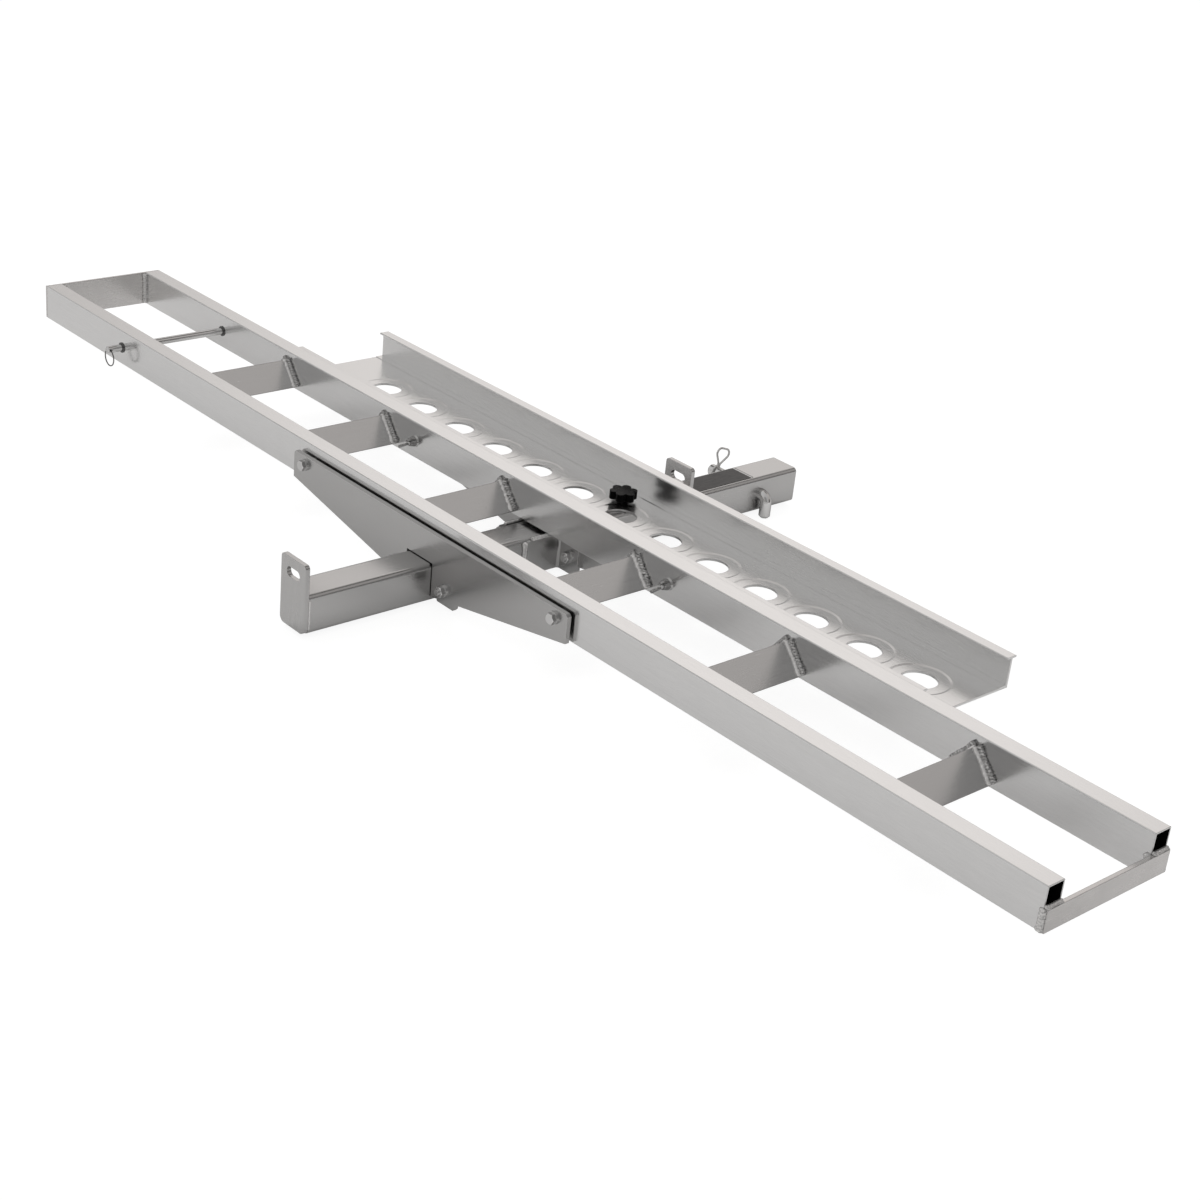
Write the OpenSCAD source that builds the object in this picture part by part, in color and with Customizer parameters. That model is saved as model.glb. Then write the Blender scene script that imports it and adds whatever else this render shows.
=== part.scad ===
// Hitch motorcycle carrier, in millimetres.
// The origin is the middle of the hitch pin hole in the shank.
// +X runs along the wheel track, +Y towards the vehicle, +Z up.

/* [Hitch tube] */
// Side of the square hitch tube
tube_w = 50; // [40:1:60]
// Wall of the hitch tube
tube_wall = 4; // [3:0.5:6]
// Outer corner radius of the hitch tube
tube_corner = 6; // [5:0.5:8]
// From the pin hole to the open end that goes into the receiver
shank_tail = 66.5; // [55:0.5:90]
// From the pin hole to the outer face of the near lug
tube_reach = 750.5; // [730.5:0.5:805.5]

/* [Tie-down lugs] */
// Thickness of both lugs
lug_t = 6; // [4:0.5:8]
// How far a lug stands above the hitch tube
lug_rise = 39; // [34:1:60]
// Corner radius at the top of a lug
lug_corner = 5; // [2:0.5:8]
// Corner radius at the foot of the near lug
lug_foot = 8; // [4:0.5:12]
// Length of the slot in a lug
slot_len = 27; // [18:1:30]
// Height of the slot in a lug
slot_h = 13; // [10:0.5:16]
// From the top of a lug to the middle of its slot
slot_drop = 19; // [14:0.5:22]
// From the pin hole back to the far lug
far_lug_back = 140.5; // [125.5:0.5:155.5]
// Length of the blank label on the tube
label_len = 121; // [60:1:125]
// Width of the blank label
label_w = 38; // [20:1:38]
// Thickness of the blank label
label_t = 0.4; // [0.3:0.1:1]

/* [Wheel track] */
// Length of the two rails
rail_len = 1905; // [1850:5:2100]
// Height of a rail
rail_h = 50; // [46:1:60]
// Width of a rail
rail_t = 25; // [20:1:32]
// Wall of a rail
rail_wall = 2; // [1.5:0.5:4]
// Outer corner radius of a rail
rail_corner = 1.2; // [0.5:0.1:1.4]
// Width over both rails
track_w = 192; // [180:1:240]
// How far the middle of the track lies from the middle of the tube
track_shift = -4.5; // [-15:0.5:15]
// From the pin hole back to the near face of the track
track_back = 558.5; // [555.5:0.5:565.5]
// Air between the hitch tube and the rails
track_lift = 4; // [2:0.5:8]
// Thickness of the plate that closes the far left ends
end_plate_t = 4; // [3:0.5:6]
// How much lower than the rails that plate is
end_plate_less = 1; // [0:0.5:6]
// Thickness of the low bar across the right ends
end_bar_t = 5; // [3:0.5:8]
// Height of the low bar
end_bar_h = 26; // [18:1:40]

/* [Rungs] */
// Height of a rung's ridge above its feet
rung_high = 33; // [26:0.5:38]
// How far the feet of the rungs stand above the bottom of the rails
rung_rise = 5; // [0:0.5:8]
// Width of a rung over its feet
rung_wide = 55; // [46:1:64]
// Thickness of the angle that a rung is cut from
rung_t = 4; // [3:0.5:5]
// From the left end of the rails to the first ridge
rung_first = 398; // [380:0.5:420]
// From the right end of the rails to the last ridge
rung_last = 221.5; // [200:0.5:240]
// How far the rung over the shank stands left of the shank's middle
rung_shift = 62.3; // [58:0.1:68]
// How much longer the middle rungs' spacing is than the end bolts' distance from the middle
rung_over = 5.1; // [2:0.1:12]
// Number of rungs
rung_count = 6; // [6:1:6]

/* [Gusset plates] */
// Thickness of a gusset plate
plate_t = 6; // [4:0.5:8]
// Half the length of a gusset plate
plate_half = 275; // [268:1:300]
// Top edge above the bottom of the rails
plate_top = 36; // [34:1:44]
// Lower corner at the ends, below the bottom of the rails
plate_end_drop = 0.5; // [0:0.5:10]
// Lower edge beside the tube, below the bottom of the rails
plate_mid_drop = 47; // [44:1:52]
// Gap between a plate and its rail
plate_gap = 3; // [2:0.5:5]
// Cut upper corners of a plate
plate_cut = 3; // [2:0.5:8]
// Clearance of the cut-out around the tube
plate_notch_gap = 1; // [0.5:0.1:2]

/* [Corner brackets] */
// Leg of the four corner brackets
bracket_leg = 42; // [40:1:52]
// Length of a bracket's leg along the tube
bracket_side = 57; // [40:1:62]
// Thickness of a bracket
bracket_t = 5; // [4:0.5:6]
// Outer bend radius of a bracket
bracket_bend = 9; // [7:0.5:10]
// Height of a bracket
bracket_h = 46; // [40:1:50]
// Cut lower corner of a bracket
bracket_cut = 4; // [2:1:8]
// From the side of the tube to the bolt in a bracket
bracket_bolt_x = 25; // [22:1:28]

/* [Bolts] */
// Thread size of the gusset bolts
bolt_d = 8; // [6:1:8]
// Width across flats of their heads and nuts
bolt_af = 13; // [12:0.5:14]
// Thickness of a bolt head
bolt_head = 5.6; // [4:0.2:7]
// Thickness of a nut
nut_h = 6.5; // [5:0.5:8]
// Outer diameter of a washer
washer_d = 16; // [15:0.5:20]
// Thickness of a washer
washer_t = 1.6; // [1:0.1:2.5]
// From the end of a gusset plate to its end bolt
bolt_inset = 23; // [17:1:30]
// Bolt height above the bottom of the rails
bolt_rise = 23; // [20:0.5:26]
// Radial clearance of a bolt hole
bolt_gap = 0.5; // [0.2:0.1:0.8]
// How far a bolt stands out of its nut
bolt_tail = 3; // [1:0.5:6]

/* [Wing bolts] */
// Thread size of the wing bolts
wing_d = 8; // [6:1:8]
// Width across flats of their heads and jam nuts
wing_af = 13; // [12:0.5:14]
// Thickness of their heads
wing_head = 5.3; // [4:0.1:6]
// Thickness of the jam nut behind the plate
jam_h = 6.5; // [5:0.1:7]
// Outer diameter of their washers
wing_washer_d = 16; // [15:0.5:18]
// Thickness of their washers
wing_washer_t = 1.6; // [1:0.1:2]
// Span over the wings of a wing nut
wing_span = 29; // [26:1:34]
// Height of the hub of a wing nut
wing_hub_h = 7; // [6:0.5:9]
// Diameter of the hub at its foot
wing_hub_d = 14; // [13:0.5:16]
// How far the wings stand out
wing_rise = 18; // [12:0.5:18]
// Thickness of a wing
wing_t = 2.6; // [2:0.1:3.5]
// Radius of a wing's round tip
wing_tip = 4; // [3:0.5:4.5]
// How much narrower the hub is at its top
wing_taper = 3; // [1:0.5:4]
// Radial running fit of a wing nut or a pin
run_fit = 0.06; // [0.02:0.01:0.09]

/* [Ramp] */
// Length of the ramp
ramp_len = 1210; // [1100:5:1400]
// Height over the flanges
ramp_h = 40.3; // [37:0.1:44]
// Sheet thickness of the floor and flanges
ramp_t = 3; // [2.5:0.1:4]
// Distance between the middles of the two flanges
ramp_w = 153; // [140:1:170]
// Width of the lip on a flange
lip_w = 16; // [10:0.5:17]
// Thickness of a lip
lip_t = 2.6; // [2:0.1:4]
// Gap from the plate to the first lip
ramp_gap = 2; // [1:0.5:4]
// How far the middle of the ramp lies from the middle of the tube
ramp_shift = 8; // [-20:1:40]
// Number of lightening holes
hole_count = 13; // [9:1:13]
// Diameter of a lightening hole
hole_d = 44; // [34:1:46]
// Outer diameter of the pressed ring around a hole
dimple_d = 76; // [66:1:76]
// Depth of the pressed ring
dimple_deep = 0.8; // [0.5:0.1:2.4]
// Width of the ring's sloping edge
dimple_slope = 3; // [2:0.5:8]
// From the left end of the ramp to the first hole
hole_first = 115.5; // [95:0.5:125]
// From the right end of the ramp to the last hole
hole_last = 64.5; // [50:0.5:95]
// Width of the thicker strip of floor beside a flange
strip_w = 13; // [6:1:20]
// How much thicker that strip is
strip_t = 0.8; // [0.4:0.1:1.5]
// Clearance of the ramp from what carries it
ramp_fit = 0.3; // [0.2:0.05:0.5]
// Side clearance of a slot around its bolt
slot_gap = 0.8; // [0.5:0.1:1.2]

/* [Star knob] */
// Outer diameter of the star knob
knob_d = 37; // [34:1:46]
// Thickness of the star
knob_head = 11; // [8:0.5:16]
// Radius of a lobe
knob_lobe_r = 6.2; // [4:0.1:7]
// Diameter of the neck under the star
knob_neck_d = 20; // [18:0.5:24]
// Diameter of the neck where it stands on the ramp
knob_foot_d = 14; // [12:0.5:18]
// Height of the neck
knob_neck = 5; // [4:0.5:12]
// Number of lobes
knob_lobes = 6; // [5:1:8]
// Diameter of the stud
stud_d = 8; // [6:1:8]
// From the middle of the far flange to the knob
knob_back = 43; // [40:1:50]

/* [Ramp pin] */
// Diameter of the rod across the track
rod_d = 10; // [8:0.5:12]
// From the left end of the rails to the rod
rod_at = 223; // [200:1:250]
// How far the rod stands out of the front rail
rod_out = 24; // [22:1:30]
// How far the rod stands out of the back rail
rod_through = 5; // [3:0.5:10]
// Wall of the sleeves in the rails
sleeve_wall = 1.2; // [0.8:0.1:2]
// Outer diameter of a sleeve's collar
collar_d = 15; // [14.5:0.5:18]
// Thickness of a collar
collar_t = 1.2; // [0.8:0.1:2]
// Wire of the pull ring
ring_wire = 1.8; // [1.4:0.1:2]
// Mean radius of the pull ring
ring_r = 12; // [11:0.5:14]
// Cross hole for the ring
ring_hole_d = 5; // [4.8:0.1:5.4]
// From the end of the rod to the cross hole
ring_in = 4; // [3.5:0.5:5]

/* [Hitch pin] */
// Diameter of the hitch pin
pin_d = 16; // [14:0.5:17]
// Radial clearance of the pin in the tube
pin_gap = 0.08; // [0.04:0.01:0.09]
// Bend radius of the pin
pin_bend = 10; // [9:0.5:18]
// Straight stub between the tube and the bend
pin_stub = 1.5; // [0.5:0.5:6]
// Straight leg below the bend
pin_leg = 20; // [10:1:30]
// How far the pin stands out on the clip's side
pin_tail = 51; // [46:1:60]
// From the end of the pin to the clip
clip_in = 13; // [10:0.5:16]
// Wire of the clip
clip_wire = 3; // [2.5:0.1:3.4]
// Mean radius of the two corners of the clip's loop
clip_loop = 7; // [6:0.5:9]
// Straight top of the loop
clip_flat = 10; // [6:0.5:14]
// Angle at which the loop's two sides spread
clip_spread = 38; // [32:1:42]
// Mean radius of the clip's tight bends
clip_bend = 3; // [2.5:0.1:4]
// From the pin up to the clip's first bend
clip_rise = 3; // [3:0.1:6]
// Length of the clip's straight leg below the pin
clip_down = 8; // [5:0.5:12]
// How far the outer leg wraps round the pin
clip_wrap = 60; // [50:1:70]
// Angle at which the outer leg's end flares
clip_flare = 25; // [10:1:40]
// Straight tip of the outer leg
clip_tip = 3; // [1:0.5:6]
// How far the clip leans over, with its hole
clip_lean = 20; // [0:1:45]
// Radial clearance of the clip in its hole and round the pin
clip_gap = 0.35; // [0.3:0.05:0.6]

/* [Hidden] */

$fn = 64;
eps = 0.01;
bead_gap = 0.1;
steel = [0.60, 0.585, 0.565];
alloy = [0.80, 0.79, 0.785];
zinc = [0.74, 0.74, 0.74];
black = [0.05, 0.05, 0.055];

// Levels and faces that the pieces share
tube_top = tube_w / 2;
rail_z = tube_top + track_lift;
rail_top = rail_z + rail_h;
front_y = -track_back;
back_y = front_y + track_w;
left_x = track_shift - rail_len / 2;
right_x = left_x + rail_len;
front_plate_y = front_y - plate_gap - plate_t;
rear_plate_y = back_y + plate_gap;
bolt_z = rail_z + bolt_rise;
bolt_span = plate_half - bolt_inset;
rung_lean = atan2(rung_high, rung_wide / 2);
rung_step = bolt_span + rung_over;
shank_rung = 2;
ramp_left = ramp_shift - ramp_len / 2;
hole_pitch = (ramp_len - hole_first - hole_last) / (hole_count - 1);
ramp_z = tube_top + ramp_fit + dimple_deep;
near_flange_y = rear_plate_y + plate_t + ramp_gap + lip_w / 2;
far_flange_y = near_flange_y + ramp_w;
floor_y = near_flange_y + ramp_w / 2;
knob_y = far_flange_y - knob_back;
rod_x = left_x + rod_at;
rod_z = rail_z + rail_h / 2;
ring_y = front_y - rod_out + ring_in;
sleeve_d = rod_d + 2 * run_fit + 2 * sleeve_wall;
bracket_z = -bracket_h / 2;
bolt_xs = [-bolt_span, bolt_span];
bracket_bolt_at = tube_w / 2 + bracket_bolt_x;
clip_x = -tube_w / 2 - pin_tail + clip_in;

// Where rung number i has its ridge: the outer two keep to the ends, the others to the bolts
function rung_x(i) =
  i == 0 ? left_x + rung_first
  : i == rung_count - 1 ? right_x - rung_last
  : (i - shank_rung) * rung_step - rung_shift;

// A rectangle with round corners, from its lower left corner
module round_rect(w, h, r) {
  translate([r, 0]) square([w - 2 * r, h]);
  translate([0, r]) square([w, h - 2 * r]);
  for (x = [r, w - r], y = [r, h - r]) translate([x, y]) circle(r);
}

// A slot with round ends, centred
module slot_shape(l, h) {
  square([l - h, h], center = true);
  for (s = [-1, 1]) translate([s * (l - h) / 2, 0]) circle(h / 2);
}

// A square bar of stock lying along +X, profile in Y and Z
module along_x(l) {
  rotate([90, 0, 90]) linear_extrude(l) children();
}

// A flat piece standing in X and Z, from y = 0 to y = t
module upright(t) {
  translate([0, t, 0]) rotate([90, 0, 0]) linear_extrude(t) children();
}

// A round bar along +Y from y = 0
module rod_y(d, l) {
  rotate([-90, 0, 0]) cylinder(d = d, h = l);
}

// A hexagon prism along +Y from y = 0, with chamfered corners at its far end
module hex_y(af, l) {
  rotate([-90, 0, 0]) intersection() {
    cylinder(d = af / cos(30), h = l, $fn = 6);
    union() {
      cylinder(d = af / cos(30) + 1, h = l * 0.8);
      translate([0, 0, l * 0.8]) cylinder(d1 = af / cos(30) + 1, d2 = af * 0.94, h = l * 0.2 + eps);
    }
  }
}

// Hitch tube with the cross hole for its pin and the knob's hole in its top
module hitch_tube() color(steel) {
  difference() {
    translate([0, -tube_reach + lug_t, 0]) rotate([-90, 0, 0])
      linear_extrude(tube_reach - lug_t + shank_tail)
        translate([-tube_w / 2, -tube_w / 2]) round_rect(tube_w, tube_w, tube_corner);
    translate([0, -tube_reach + lug_t - 1, 0]) rotate([-90, 0, 0])
      linear_extrude(tube_reach - lug_t + shank_tail + 2)
        translate([-tube_w / 2 + tube_wall, -tube_w / 2 + tube_wall])
          round_rect(tube_w - 2 * tube_wall, tube_w - 2 * tube_wall, tube_corner - tube_wall + 1);
    translate([-tube_w, 0, 0]) rotate([0, 90, 0]) cylinder(d = pin_d + 2 * pin_gap, h = 2 * tube_w);
    translate([0, knob_y, 0]) cylinder(d = stud_d + 2 * bolt_gap, h = tube_w);
  }
}

// The outline of a lug, standing on z = 0 with its slot. Its lower corners have the radius foot
module lug_shape(h, foot) {
  difference() {
    union() {
      translate([-tube_w / 2, foot]) square([tube_w, h - lug_corner - foot]);
      translate([-tube_w / 2 + lug_corner, foot]) square([tube_w - 2 * lug_corner, h - foot]);
      translate([-tube_w / 2 + foot, 0]) square([tube_w - 2 * foot, h / 2]);
      for (s = [-1, 1]) {
        translate([s * (tube_w / 2 - lug_corner), h - lug_corner]) circle(lug_corner);
        if (foot > 0) translate([s * (tube_w / 2 - foot), foot]) circle(foot);
      }
    }
    translate([0, h - slot_drop]) slot_shape(slot_len, slot_h);
  }
}

// Near lug, which also closes the end of the tube
module near_lug() color(steel) {
  translate([0, -tube_reach, -tube_w / 2]) upright(lug_t) lug_shape(tube_w + lug_rise, lug_foot);
}

// Far lug, standing on the tube
module far_lug() color(steel) {
  translate([0, -far_lug_back, tube_top]) upright(lug_t) lug_shape(lug_rise, 0);
}

// Blank label on the tube, behind the far lug
module blank_label() color(black) {
  translate([-label_w / 2, -far_lug_back + lug_t + 1, tube_top])
    linear_extrude(label_t) round_rect(label_w, label_len, 1.5);
}

// A rail with its open ends, from the left end along +X
module rail_stock() {
  along_x(rail_len) difference() {
    round_rect(rail_t, rail_h, rail_corner);
    translate([rail_wall, rail_wall]) square([rail_t - 2 * rail_wall, rail_h - 2 * rail_wall]);
  }
}

// The cross holes of a rail: two end bolts of diameter d and the sleeve
module rail_holes(y, d) {
  for (x = bolt_xs) translate([x, y - 1, bolt_z]) rod_y(d + 2 * bolt_gap, rail_t + 2);
  translate([rod_x, y - 1, rod_z]) rod_y(sleeve_d, rail_t + 2);
}

module front_rail() color(alloy) {
  difference() {
    translate([left_x, front_y, rail_z]) rail_stock();
    rail_holes(front_y, bolt_d);
  }
}

module back_rail() color(alloy) {
  difference() {
    translate([left_x, back_y - rail_t, rail_z]) rail_stock();
    rail_holes(back_y - rail_t, wing_d);
  }
}

// Plate welded over the left ends of both rails
module left_end_plate() color(alloy) {
  translate([left_x - end_plate_t, front_y, rail_z + end_plate_less / 2])
    along_x(end_plate_t) round_rect(track_w, rail_h - end_plate_less, 0.6);
}

// Low bar welded across the right ends of both rails
module right_end_bar() color(alloy) {
  translate([right_x, front_y, rail_z]) along_x(end_bar_t) round_rect(track_w, end_bar_h, 0.8);
}

// A rung: an angle with its corner up, cut square between the rails
module rung(i) color(alloy) {
  span = track_w - 2 * rail_t;
  half = rung_wide / 2;
  foot = rung_t / sin(rung_lean);
  crown = rung_t / cos(rung_lean);
  translate([rung_x(i), front_y + rail_t, rail_z + rung_rise]) upright(span) polygon([
    [-half, 0], [0, rung_high], [half, 0], [half - foot, 0],
    [0, rung_high - crown], [-half + foot, 0]]);
}

// Outline of a gusset plate in X and Z, with the cut-out around the tube
module gusset_shape() {
  half_notch = tube_w / 2 + plate_notch_gap;
  top = rail_z + plate_top;
  low = rail_z - plate_end_drop;
  mid = rail_z - plate_mid_drop;
  roof = tube_top + plate_notch_gap;
  difference() {
    polygon([
      [-plate_half, low], [-plate_half, top - plate_cut], [-plate_half + plate_cut, top],
      [plate_half - plate_cut, top], [plate_half, top - plate_cut], [plate_half, low],
      [half_notch, mid], [half_notch, roof], [-half_notch, roof], [-half_notch, mid]]);
    for (x = bolt_xs) translate([x, bolt_z]) circle(d = bolt_d + 2 * bolt_gap);
    for (s = [-1, 1]) translate([s * bracket_bolt_at, 0]) circle(d = bolt_d + 2 * bolt_gap);
  }
}

module front_gusset() color(steel) {
  translate([0, front_plate_y, 0]) upright(plate_t) gusset_shape();
}

module rear_gusset() color(steel) {
  translate([0, rear_plate_y, 0]) upright(plate_t) gusset_shape();
}

// A corner bracket: one leg against the tube, one against the inner face of a plate
// side is -1 or 1 along X, way is 1 when the plate lies towards -Y
module bracket(side, way, face_y) color(steel) {
  translate([side * tube_w / 2, face_y, bracket_z]) scale_sign(side, way) difference() {
    linear_extrude(bracket_h) bent_angle(bracket_leg, bracket_side, bracket_t, bracket_bend);
    translate([0, -1, 0]) upright(bracket_t + 2) polygon([
      [bracket_leg - bracket_cut, 0], [bracket_leg - bracket_cut, -1], [bracket_leg + 1, -1],
      [bracket_leg + 1, bracket_cut], [bracket_leg, bracket_cut]]);
    translate([bracket_bolt_x, -1, -bracket_z]) rod_y(bolt_d + 2 * bolt_gap, bracket_t + 2);
  }
}

// Section of an angle bent from plate, with a leg along X and one along Y
module bent_angle(leg_x, leg_y, t, bend) {
  translate([bend, 0]) square([leg_x - bend, t]);
  translate([0, bend]) square([t, leg_y - bend]);
  intersection() {
    translate([bend, bend]) difference() {
      circle(bend);
      circle(bend - t);
    }
    square(bend);
  }
}

// Mirror a piece that is drawn towards +X and +Y
module scale_sign(side, way) {
  mirror([side < 0 ? 1 : 0, 0, 0]) mirror([0, way < 0 ? 1 : 0, 0]) children();
}

module bracket_front_left() bracket(-1, 1, front_plate_y + plate_t);
module bracket_front_right() bracket(1, 1, front_plate_y + plate_t);
module bracket_rear_left() bracket(-1, -1, rear_plate_y);
module bracket_rear_right() bracket(1, -1, rear_plate_y);

// Faces at the two ends of a bracket joint, towards -Y and towards +Y
front_pair = [front_plate_y, front_plate_y + plate_t + bracket_t];
rear_pair = [rear_plate_y - bracket_t, rear_plate_y + plate_t];

// One bolt through a stack: its head is towards +Y, its nut towards -Y
module bolt_through(x, z, y0, y1) {
  translate([x, y1 + washer_t, z]) hex_y(bolt_af, bolt_head);
  translate([x, y0 - washer_t - nut_h - bolt_tail, z])
    rod_y(bolt_d, y1 - y0 + 2 * washer_t + nut_h + bolt_tail + eps);
}

// A washer along +Y from y = 0
module washer_y(d, bore, t) {
  difference() {
    rod_y(d, t);
    translate([0, -1, 0]) rod_y(bore, t + 2);
  }
}

// A nut along +Y from y = 0, chamfered towards -Y
module nut_y(af, bore, h) {
  difference() {
    translate([0, h, 0]) mirror([0, 1, 0]) hex_y(af, h);
    translate([0, -1, 0]) rod_y(bore, h + 2);
  }
}

module bracket_bolts() color(zinc) {
  for (s = [-1, 1], p = [front_pair, rear_pair]) bolt_through(s * bracket_bolt_at, 0, p[0], p[1]);
}

module bracket_washers() color(zinc) {
  for (s = [-1, 1], p = [front_pair, rear_pair]) translate([s * bracket_bolt_at, 0, 0]) {
    translate([0, p[0] - washer_t, 0]) washer_y(washer_d, bolt_d + bolt_gap, washer_t);
    translate([0, p[1], 0]) washer_y(washer_d, bolt_d + bolt_gap, washer_t);
  }
}

module bracket_nuts() color(zinc) {
  for (s = [-1, 1], p = [front_pair, rear_pair])
    translate([s * bracket_bolt_at, p[0] - washer_t - nut_h, 0]) nut_y(bolt_af, bolt_d, nut_h);
}

// The two bolts that hold the front plate to the front rail, heads towards -Y
module end_bolts() color(zinc) {
  inner_y = front_y + rail_t;
  for (x = bolt_xs) translate([x, 0, bolt_z]) {
    translate([0, front_plate_y - washer_t, 0]) mirror([0, 1, 0]) hex_y(bolt_af, bolt_head);
    translate([0, front_plate_y - washer_t - eps, 0])
      rod_y(bolt_d, inner_y - front_plate_y + 2 * washer_t + nut_h + bolt_tail);
  }
}

module end_washers() color(zinc) {
  for (x = bolt_xs) translate([x, 0, bolt_z]) {
    translate([0, front_plate_y - washer_t, 0]) washer_y(washer_d, bolt_d + bolt_gap, washer_t);
    translate([0, front_y + rail_t, 0]) washer_y(washer_d, bolt_d + bolt_gap, washer_t);
  }
}

module end_nuts() color(zinc) {
  for (x = bolt_xs) translate([x, front_y + rail_t + washer_t + nut_h, bolt_z])
    mirror([0, 1, 0]) nut_y(bolt_af, bolt_d, nut_h);
}

// Spacers that hold both plates off the rails
module gusset_spacers() color(zinc) {
  for (x = bolt_xs) translate([x, 0, bolt_z]) {
    translate([0, front_y - plate_gap, 0]) washer_y(washer_d, bolt_d + bolt_gap, plate_gap);
    translate([0, back_y, 0]) washer_y(washer_d, wing_d + bolt_gap, plate_gap);
  }
}

// The wing bolts run from inside the ramp to inside the track
wing_head_y = near_flange_y + ramp_t / 2 + ramp_fit + wing_washer_t;
wing_face_y = back_y - rail_t - wing_washer_t;
wing_end_y = wing_face_y - wing_hub_h - bolt_tail;

module wing_bolts() color(zinc) {
  for (x = bolt_xs) translate([x, 0, bolt_z]) {
    translate([0, wing_head_y, 0]) hex_y(wing_af, wing_head);
    translate([0, wing_end_y, 0]) rod_y(wing_d, wing_head_y - wing_end_y + eps);
  }
}

module wing_jam_nuts() color(zinc) {
  for (x = bolt_xs) translate([x, rear_plate_y + plate_t, bolt_z]) {
    difference() {
      hex_y(wing_af, jam_h);
      translate([0, -1, 0]) rod_y(wing_d, jam_h + 2);
    }
  }
}

module wing_washers() color(zinc) {
  for (x = bolt_xs) translate([x, 0, bolt_z]) {
    translate([0, wing_head_y - wing_washer_t, 0]) washer_y(wing_washer_d, wing_d + bolt_gap, wing_washer_t);
    translate([0, wing_face_y, 0]) washer_y(wing_washer_d, wing_d + bolt_gap, wing_washer_t);
  }
}

// A wing nut whose hub stands towards -Y from its washer
module wing_nut(x, turn) color(zinc) {
  root = wing_hub_d / 2;
  inner = root - wing_taper;
  tip_x = wing_span / 2 - wing_tip;
  tip_y = wing_rise - wing_tip;
  side = wing_tip * sqrt(0.5);
  translate([x, wing_face_y - run_fit, bolt_z]) rotate([0, turn, 0]) difference() {
    union() {
      rotate([90, 0, 0]) cylinder(d1 = wing_hub_d, d2 = wing_hub_d - wing_taper, h = wing_hub_h);
      for (s = [-1, 1]) translate([0, 0, -wing_t / 2]) linear_extrude(wing_t) {
        polygon([[s * inner, -1], [s * root, -1], [s * (tip_x + side), -tip_y + side],
                 [s * (tip_x - side), -tip_y - side], [s * inner, -wing_hub_h + 1]]);
        translate([s * tip_x, -tip_y]) circle(wing_tip);
      }
    }
    rotate([90, 0, 0]) translate([0, 0, -1]) cylinder(r = wing_d / 2 + run_fit, h = wing_rise + 2);
  }
}

module wing_nut_left() wing_nut(-bolt_span, -40);
module wing_nut_right() wing_nut(bolt_span, -50);

// Where hole number k of the ramp lies
function hole_x(k) = ramp_left + hole_first + k * hole_pitch;

// The pressed ring round a hole: a shallow dish with the hole in its middle
module dimple() {
  rim = dimple_d / 2;
  bore = hole_d / 2;
  dish = rim - dimple_slope;
  rotate_extrude() polygon([
    [bore, -dimple_deep], [dish, -dimple_deep], [rim + eps, 0],
    [rim + eps, ramp_t], [dish, ramp_t - dimple_deep], [bore, ramp_t - dimple_deep]]);
}

// Section of the ramp in Y and Z: floor, two flanges and their lips
module ramp_section() {
  half = ramp_w / 2;
  translate([-half, 0]) square([ramp_w, ramp_t]);
  for (s = [-1, 1]) {
    translate([s * half - ramp_t / 2, 0]) square([ramp_t, ramp_h - lip_t / 2]);
    translate([s * half - lip_w / 2, ramp_h - lip_t]) round_rect(lip_w, lip_t, lip_t / 2 - eps);
    translate([s * (half - strip_w / 2) - strip_w / 2, 0]) square([strip_w, ramp_t + strip_t]);
  }
}

// The notch that lets the near flange drop over a wing bolt
module ramp_notch(x) {
  slot_w = wing_d + 2 * slot_gap;
  head_w = wing_washer_d + 2 * slot_gap;
  depth = ramp_t / 2 + ramp_fit + wing_washer_t + wing_head + slot_gap;
  translate([x - slot_w / 2, near_flange_y - ramp_t, ramp_z - 1])
    cube([slot_w, 2 * ramp_t, bolt_z - ramp_z + 1]);
  translate([x, near_flange_y - ramp_t, bolt_z]) rod_y(slot_w, 2 * ramp_t);
  translate([x - head_w / 2, near_flange_y + ramp_t / 2, ramp_z - 1])
    cube([head_w, depth, ramp_t + strip_t + 2]);
}

module ramp() color(alloy) {
  difference() {
    union() {
      difference() {
        translate([ramp_left, floor_y, ramp_z]) along_x(ramp_len) ramp_section();
        for (k = [0 : hole_count - 1]) translate([hole_x(k), floor_y, ramp_z - 1])
          cylinder(d = dimple_d, h = ramp_t + strip_t + 2);
      }
      for (k = [0 : hole_count - 1]) translate([hole_x(k), floor_y, ramp_z]) dimple();
    }
    for (x = bolt_xs) ramp_notch(x);
    translate([0, knob_y, ramp_z - 1]) cylinder(d = stud_d + 2 * bolt_gap, h = ramp_t + 2);
  }
}

// Star knob on its neck
module star_knob() color(black) {
  ring = knob_d / 2 - knob_lobe_r;
  base_z = ramp_z + ramp_t + run_fit;
  translate([0, knob_y, base_z]) difference() {
    union() {
      cylinder(d1 = knob_foot_d, d2 = knob_neck_d, h = knob_neck);
      translate([0, 0, knob_neck]) {
        cylinder(r = ring, h = knob_head);
        for (k = [0 : knob_lobes - 1]) rotate(k * 360 / knob_lobes) translate([ring, 0, 0])
          cylinder(r = knob_lobe_r, h = knob_head);
      }
    }
    translate([0, 0, -1]) cylinder(d = stud_d, h = knob_neck + knob_head / 2 + 1);
  }
}

// Threaded stud moulded into the knob, down through the ramp and the tube's top wall
module knob_stud() color(zinc) {
  foot = tube_top - tube_wall - nut_h - bolt_tail;
  head = ramp_z + ramp_t + run_fit + knob_neck + knob_head / 2;
  translate([0, knob_y, foot]) cylinder(d = stud_d, h = head - foot);
}

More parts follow.
